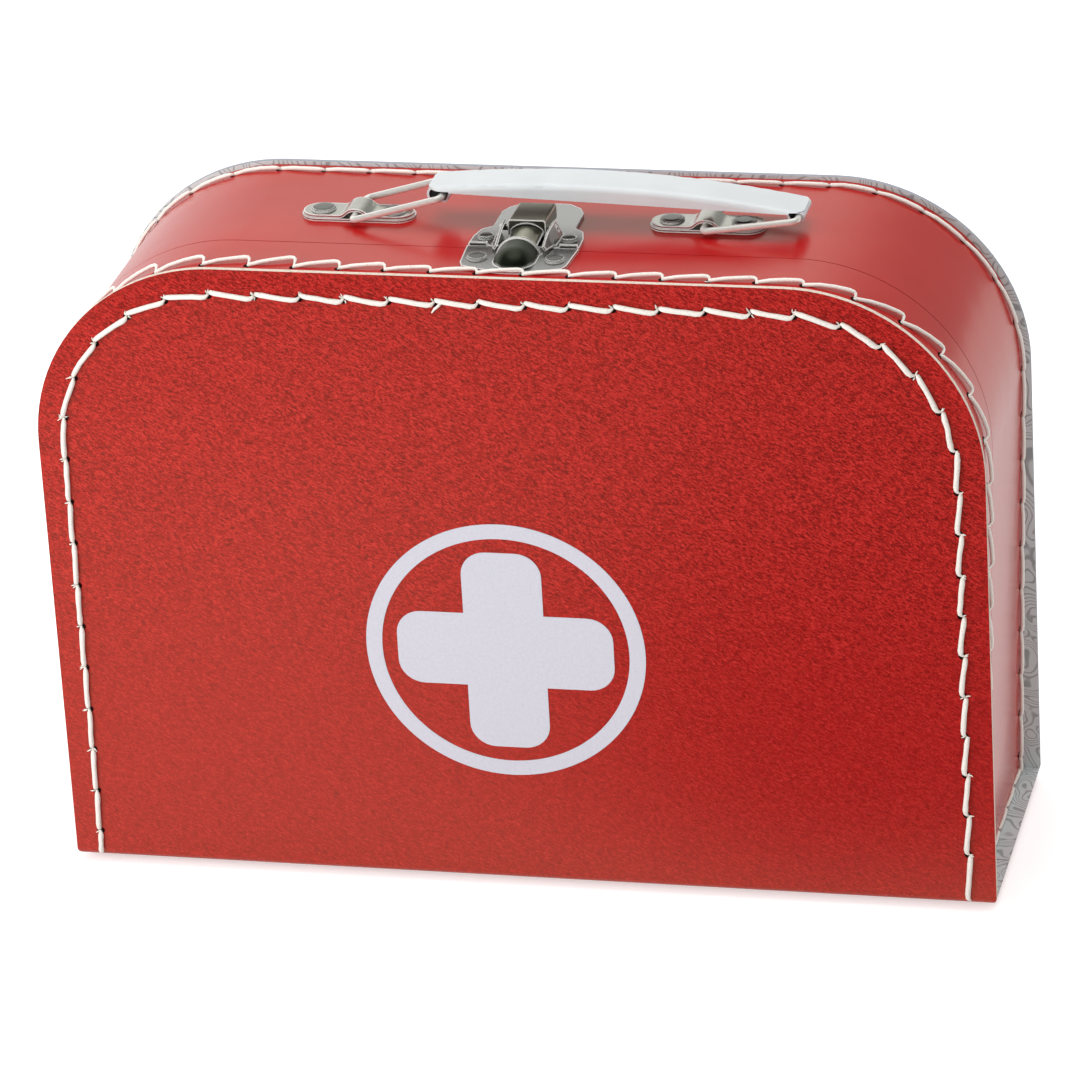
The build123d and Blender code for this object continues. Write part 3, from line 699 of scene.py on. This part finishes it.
def face_row(name, body, outward, inset):
    path = arch_path(inset, band=False)
    total = measure(path)
    length = total[-1]
    face = front_y if outward < 0 else back_y

    def place(s, across, lift):
        p, d = at(path, total, s)
        out = Vector((-d.y, d.x))
        p = p + out * across
        if s < 0:
            p.y += s
        if s > length:
            p.y -= s - length
        return Vector((p.x, face + outward * lift, p.y))

    threads, holes = bmesh.new(), bmesh.new()
    joints = [share * length for share in hole_fractions(length)]
    ends = [face_row_end] + joints + [length - face_row_end]
    for i, (s0, s1) in enumerate(zip(ends, ends[1:])):
        slant = face_slant * slope_at(s0 / length) * (1 + rng.uniform(-0.2, 0.2))
        a, b = s0 + 0.15 * MM, s1 - 0.45 * MM
        spots = []
        for t, part, lift, thick in FACE_STITCH:
            wobble = rng.uniform(-0.1, 0.1) * MM if 0.1 < t < 0.8 else 0
            spots.append((place(a + (b - a) * t, slant * part + wobble, lift * thread_radius), thick))
        stitch(threads, spots)
        if 0 < i:
            painted_hole_shade(holes, place, s0 - 0.2 * MM, -0.15 * MM)
            wisps(threads, place, s0 - 0.2 * MM, 1, rng.choice((1, 2, 2, 3)))
            wisps(threads, place, s0 + 0.1 * MM, -0.7, rng.choice((0, 0, 1)))
    if outward < 0:
        # one loose thread tail hanging from a hole near the top left
        s = joints[tail_hole]
        points = [place(s + x * MM, y * MM, z * MM) for x, y, z, _ in THREAD_TAIL]
        tube(threads, points, [radius * MM for _, _, _, radius in THREAD_TAIL], sides=6)
    finish_piece(name, threads, thread_mat, body)
    finish_piece(name + "_hole_shade", holes, hole_shade_mat, body)


def path_sections(inset, band):
    # lengths of side, corner, top, corner and side of a sewn path
    path = arch_path(inset, band)
    total = measure(path)
    top = max(p.y for p in path)
    flat = [s for p, s in zip(path, total) if top - p.y < 1e-7]
    radius = (band_radius if band else corner_radius) - inset
    arc = radius * (math.pi / 2 + (math.atan(band_lean) if band else 0))
    side = flat[0] - arc
    return [0, side, flat[0], flat[-1], flat[-1] + arc, total[-1]]


def band_holes(phase, top_pitch, corner_pitch, side_pitch):
    # arc lengths of the needle holes, stepped out both ways from one near the middle of the top
    marks = path_sections(0, True)

    def pitch_at(s):
        if marks[2] <= s <= marks[3]:
            return top_pitch
        return corner_pitch if marks[1] < s < marks[4] else side_pitch

    out = [marks[5] / 2 + phase]
    while out[-1] + pitch_at(out[-1]) < marks[5] - band_hole_end:
        out.append(out[-1] + pitch_at(out[-1]))
    while out[0] - pitch_at(out[0]) > band_hole_end:
        out.insert(0, out[0] - pitch_at(out[0]))
    return out


def thread_spots(place, a, b, reach, high):
    # one stitch from the near hole at a, out to reach and back down to the hole at b
    spots = []
    for t, part, round_share, high_share, thick in BAND_STITCH:
        lift = round_share * thread_radius + high_share * high
        spots.append((place(a + (b - a) * t, reach * part, lift), thick))
    return spots


def band_row(name, body, joints, near, reach_at, drift_at, lifted):
    # a row over the band: near is where the holes lie, reach goes away from the panel
    path = arch_path(0, band=True)
    total = measure(path)
    toward = 1 if near < split_y else -1

    def place(s, across, lift):
        p, d = at(path, total, s)
        out = Vector((-d.y, d.x))
        p = p + out * lift
        return Vector((p.x, near + toward * (across + drift_at(s - total[-1] / 2)), p.y))

    threads, holes = bmesh.new(), bmesh.new()
    ends = [band_row_end] + joints + [total[-1] - band_row_end]
    for i, (s0, s1) in enumerate(zip(ends, ends[1:])):
        a, b = s0 + 0.3 * MM, s1 - 0.2 * MM
        high = lifted * (1 + rng.uniform(-0.25, 0.25))
        reach = reach_at(s0 - total[-1] / 2) * (1 + rng.uniform(-0.14, 0.14))
        spots = thread_spots(place, a, b, reach, high)
        stitch(threads, [(point, band_thread * thick) for point, thick in spots])
        if 0 < i:
            painted_hole_shade(holes, place, s0, 0.1 * MM)
            wisps(threads, place, s0, -0.7, rng.choice((0, 0, 1)))
    finish_piece(name, threads, thread_mat, body)
    finish_piece(name + "_hole_shade", holes, hole_shade_mat, body)


def foot_row(name, body, y0, y1):
    # short rows that hold the band's feet down, one along each side
    threads = bmesh.new()
    for side in (-1, 1):
        x = side * (foot_half + foot_rise * band_lean)
        count = max(1, round(abs(y1 - y0) / foot_feed))
        step = (y1 - y0) / count
        for k in range(count):
            a = y0 + step * k + foot_gap / 2
            spots = []
            for t, lift, thick in FOOT_STITCH:
                sway = rng.uniform(-0.15, 0.15) * MM
                out = x + side * lift * 0.7 * thread_radius
                z = band_foot + foot_rise + sway
                spots.append((Vector((out, a + (step - foot_gap) * t, z)), thick))
            stitch(threads, spots)
    finish_piece(name, threads, thread_mat, body)


def front_reach(s):
    # the front row leans out further round the corners
    left = eased(-s, 38 * MM, 26 * MM)
    right = eased(s, 70 * MM, 20 * MM)
    return 1.3 * MM + 2.6 * MM * left + 1.2 * MM * right


def front_drift(s):
    # and wanders away from the panel down the right side
    corner = eased(s, 95 * MM, 45 * MM)
    side = eased(s, 140 * MM, 30 * MM)
    return 5.5 * MM * corner + 3.0 * MM * side


face_row("stitches_front_face", "lid", outward=-1, inset=face_inset)
face_row("stitches_back_face", "base", outward=1, inset=face_inset)
band_row(
    "stitches_lid_band",
    "lid",
    band_holes(phase=6.4 * MM, top_pitch=12.09 * MM, corner_pitch=13.3 * MM, side_pitch=12.0 * MM),
    near=front_y + board + 3.9 * MM,
    reach_at=front_reach,
    drift_at=front_drift,
    lifted=0.45 * MM,
)
band_row(
    "stitches_base_band",
    "base",
    band_holes(phase=-0.9 * MM, top_pitch=12.4 * MM, corner_pitch=13.2 * MM, side_pitch=12.6 * MM),
    near=back_y - board - 4.0 * MM,
    reach_at=lambda s: 0.9 * MM,
    drift_at=lambda s: 0.0,
    lifted=0.25 * MM,
)
foot_row("stitches_lid_foot", "lid", y0=lid_lo.y + 1.5 * MM, y1=lid_hi.y - 1.0 * MM)
foot_row("stitches_base_foot", "base", y0=base_lo.y + 1.0 * MM, y1=base_hi.y - 1.0 * MM)

# ---- first-aid sign printed on the front face ----
# its middle, how much lower than wide it is, the ring, and the cross with its rounded ends
emblem_x = -2.7 * MM
emblem_z = floor_z + 67.2 * MM
squeeze = 0.968
ring_outer = 37.4 * MM
ring_inner = 33.1 * MM
cross_reach = 57.9 / 2 * MM
bar_half = 10.7 * MM
cross_round = 6.8 * MM
# the print stands this far off the face, and its back almost touches it
print_lift = 0.12 * MM
print_back = 0.1 * print_lift
ROUND_STEPS = 8


def flat_print(name, outlines):
    # a thin closed solid on the face: one outline, or an outer and an inner one
    bm = bmesh.new()
    layers = []
    for y in (front_y - print_lift, front_y - print_back):
        layers.append([[bm.verts.new(Vector((x, y, z))) for x, z in line] for line in outlines])
    for layer in layers:
        if len(outlines) == 1:
            bm.faces.new(layer[0])
        else:
            join_loops(bm, *layer)
    for front, behind in zip(*layers):
        join_loops(bm, front, behind)
    finish_piece(name, bm, emblem_mat, "lid", smooth=False)


def circle(radius, count=128):
    # points round the sign's middle, as low as the sign is
    return [
        (
            emblem_x + radius * math.cos(2 * math.pi * k / count),
            emblem_z + squeeze * radius * math.sin(2 * math.pi * k / count),
        )
        for k in range(count)
    ]


def cross_outline():
    # four arms with rounded corners, each turned a quarter from the last
    arm = []
    for k in range(ROUND_STEPS + 1):
        a = math.pi / 2 * k / ROUND_STEPS
        arm.append(
            (
                cross_reach - cross_round + cross_round * math.cos(a),
                bar_half - cross_round + cross_round * math.sin(a),
            )
        )
    lower = [(x, -y) for x, y in reversed(arm)]
    quarter = lower + arm + [(bar_half, bar_half)]
    points = []
    for turn in range(4):
        a = math.pi / 2 * turn
        for x, y in quarter:
            points.append((x * math.cos(a) - y * math.sin(a), x * math.sin(a) + y * math.cos(a)))
    return [(emblem_x + x, emblem_z + squeeze * y) for x, y in points]


flat_print("sign_ring", [circle(ring_outer), circle(ring_inner)])
flat_print("sign_cross", [cross_outline()])


# ---- floor, light and camera ----
FLOOR_SIZE = 6.0
# light of its own that the floor shows to the camera alone
FLOOR_GLOW = 0.5
# the floor in reflections: where the white table ends and starts to fade, and how dark it gets
TABLE_END = -480 * MM
TABLE_FADE = -300 * MM
TABLE_DARK = 0.05
# its shade towards the right and the front
SHADE_X = (-120 * MM, 10 * MM)
SHADE_Y = (-80 * MM, -230 * MM)
SHADE = 0.6
# its dark patch: middle, half lengths, and where its edge starts and ends, as shares of these
PATCH_X = 88 * MM
PATCH_Y = -180 * MM
PATCH_HALF_X = 110 * MM
PATCH_HALF_Y = 116 * MM
PATCH_EDGE = (0.65, 1.35)
# the world: ROOM is the even light; in reflections the white backdrop, looked at along
# ROOM_TILT, fades over ROOM_EDGE to ROOM_DARK and over WALL_EDGE to WALL_RIGHT at the right,
# and the soft box overhead starts over SOFTBOX_EDGE
ROOM = 0.58
ROOM_DARK = 0.10
ROOM_TILT = (0, 1, -0.9)
ROOM_EDGE = (-0.55, 0.05)
WALL_EDGE = (-0.2, 0.3)
WALL_RIGHT = 0.42
SOFTBOX = 0.6
SOFTBOX_EDGE = (0.80, 0.93)


def stage_plane(name, size):
    bm = bmesh.new()
    bmesh.ops.create_grid(bm, x_segments=1, y_segments=1, size=size)
    data = bpy.data.meshes.new(name)
    bm.to_mesh(data)
    bm.free()
    piece = bpy.data.objects.new(name, data)
    bpy.context.scene.collection.objects.link(piece)
    return piece


def studio_floor():
    # white to the camera; in reflections a white table that fades out in front of the case
    # and has one dark patch at the right front, like the room in the photograph
    mat, tree, bsdf = new_material("studio_floor")
    bsdf.inputs["Base Color"].default_value = (0.86, 0.86, 0.86, 1)
    bsdf.inputs["Roughness"].default_value = 0.9
    bsdf.inputs["Specular IOR Level"].default_value = 0.1
    axes = split_axes(tree, add_node(tree, "ShaderNodeNewGeometry").outputs["Position"])
    x, y = axes["X"], axes["Y"]
    far = smooth_range(tree, y, TABLE_END, TABLE_FADE, TABLE_DARK, 1.0)
    to_right = smooth_range(tree, x, *SHADE_X)
    forward = smooth_range(tree, y, *SHADE_Y)
    side_shade = math_node(tree, "MULTIPLY", math_node(tree, "MULTIPLY", to_right, forward), -SHADE)
    across = math_node(tree, "DIVIDE", math_node(tree, "SUBTRACT", x, PATCH_X), PATCH_HALF_X)
    along = math_node(tree, "DIVIDE", math_node(tree, "SUBTRACT", y, PATCH_Y), PATCH_HALF_Y)
    square = math_node(tree, "MULTIPLY_ADD", across, across, math_node(tree, "MULTIPLY", along, along))
    patch = smooth_range(tree, math_node(tree, "SQRT", square), *PATCH_EDGE)
    level = math_node(tree, "MULTIPLY", math_node(tree, "ADD", side_shade, 1.0), patch)
    reflected = add_node(tree, "ShaderNodeEmission")
    tree.links.new(math_node(tree, "MULTIPLY", level, far), reflected.inputs["Strength"])
    seen = add_node(tree, "ShaderNodeEmission")
    paths = add_node(tree, "ShaderNodeLightPath")
    glow = math_node(tree, "MULTIPLY", paths.outputs["Is Camera Ray"], FLOOR_GLOW)
    tree.links.new(glow, seen.inputs["Strength"])
    both = add_node(tree, "ShaderNodeAddShader")
    tree.links.new(bsdf.outputs["BSDF"], both.inputs[0])
    tree.links.new(seen.outputs["Emission"], both.inputs[1])
    pick = add_node(tree, "ShaderNodeMixShader")
    tree.links.new(paths.outputs["Is Glossy Ray"], pick.inputs[0])
    tree.links.new(both.outputs["Shader"], pick.inputs[1])
    tree.links.new(reflected.outputs["Emission"], pick.inputs[2])
    tree.links.new(pick.outputs["Shader"], tree.nodes["Material Output"].inputs["Surface"])
    return mat


floor = stage_plane("floor", FLOOR_SIZE)
floor.data.materials.append(studio_floor())

# even grey dome for the lighting, white where the camera looks, and for reflections a
# white backdrop behind the case that darkens upwards, to the right and towards the room,
# with one soft box straight overhead
world = bpy.data.worlds.new("studio")
bpy.context.scene.world = world
world.use_nodes = True
sky = world.node_tree
back = sky.nodes["Background"]
back.inputs["Color"].default_value = (1, 1, 1, 1)
sky_paths = add_node(sky, "ShaderNodeLightPath")
heading = add_node(sky, "ShaderNodeTexCoord").outputs["Generated"]
dot = add_node(sky, "ShaderNodeVectorMath", operation="DOT_PRODUCT")
dot.inputs[1].default_value = ROOM_TILT
sky.links.new(heading, dot.inputs[0])
mirror = smooth_range(sky, dot.outputs["Value"], *ROOM_EDGE, ROOM_DARK, 1.0)
toward = split_axes(sky, heading)
wall = smooth_range(sky, toward["X"], *WALL_EDGE, 1.0, WALL_RIGHT)
mirror = math_node(sky, "MULTIPLY", mirror, wall)
softbox = smooth_range(sky, toward["Z"], *SOFTBOX_EDGE, 0.0, SOFTBOX)
mirror = math_node(sky, "ADD", mirror, softbox)
# in these number mixes input 0 is the factor, and 2 and 3 are the two values
pick_gloss = add_node(sky, "ShaderNodeMix", data_type="FLOAT")
sky.links.new(sky_paths.outputs["Is Glossy Ray"], pick_gloss.inputs[0])
pick_gloss.inputs[2].default_value = ROOM
sky.links.new(mirror, pick_gloss.inputs[3])
pick_camera = add_node(sky, "ShaderNodeMix", data_type="FLOAT")
sky.links.new(sky_paths.outputs["Is Camera Ray"], pick_camera.inputs[0])
sky.links.new(pick_gloss.outputs[0], pick_camera.inputs[2])
pick_camera.inputs[3].default_value = 1.0
sky.links.new(pick_camera.outputs[0], back.inputs["Strength"])


def lamp(name, place, target, size, watts):
    # a square area lamp that gives no highlight of its own
    data = bpy.data.lights.new(name, "AREA")
    data.shape = "SQUARE"
    data.size = size
    data.energy = watts
    light = bpy.data.objects.new(name, data)
    light.location = place
    light.visible_glossy = False
    aim = Vector(target) - Vector(place)
    light.rotation_euler = aim.to_track_quat("-Z", "Y").to_euler()
    bpy.context.scene.collection.objects.link(light)


middle = Vector((0, 0, floor_z + 86 * MM))
lamp("key", (-0.62, -0.70, 0.42), middle, size=0.6, watts=5.6)
lamp("top", (0.1, 0.1, 1.3), middle, size=0.9, watts=6.5)

# the photograph's camera, fitted so that the case's outlines land on the picture
azimuth = math.radians(14.091)
elevation = math.radians(24.475)
roll = math.radians(-3.443)
distance = 1639.93 * MM
target = Vector((-3.26 * MM, 0, floor_z + 83.0 * MM))
forward = Vector(
    (
        -math.sin(azimuth) * math.cos(elevation),
        math.cos(azimuth) * math.cos(elevation),
        -math.sin(elevation),
    )
)
right = Vector((math.cos(azimuth), math.sin(azimuth), 0))
up = right.cross(forward)
right_rolled = right * math.cos(roll) + up * math.sin(roll)
up_rolled = up * math.cos(roll) - right * math.sin(roll)
camera_data = bpy.data.cameras.new("camera")
camera_data.sensor_width = 36.0
camera_data.lens = 208.745
camera_data.clip_end = 20.0
camera = bpy.data.objects.new("camera", camera_data)
spot = target - forward * distance
camera.matrix_world = Matrix(
    (
        (right_rolled.x, up_rolled.x, -forward.x, spot.x),
        (right_rolled.y, up_rolled.y, -forward.y, spot.y),
        (right_rolled.z, up_rolled.z, -forward.z, spot.z),
        (0, 0, 0, 1),
    )
)
bpy.context.scene.collection.objects.link(camera)
bpy.context.scene.camera = camera
bpy.context.scene.view_settings.view_transform = "Standard"
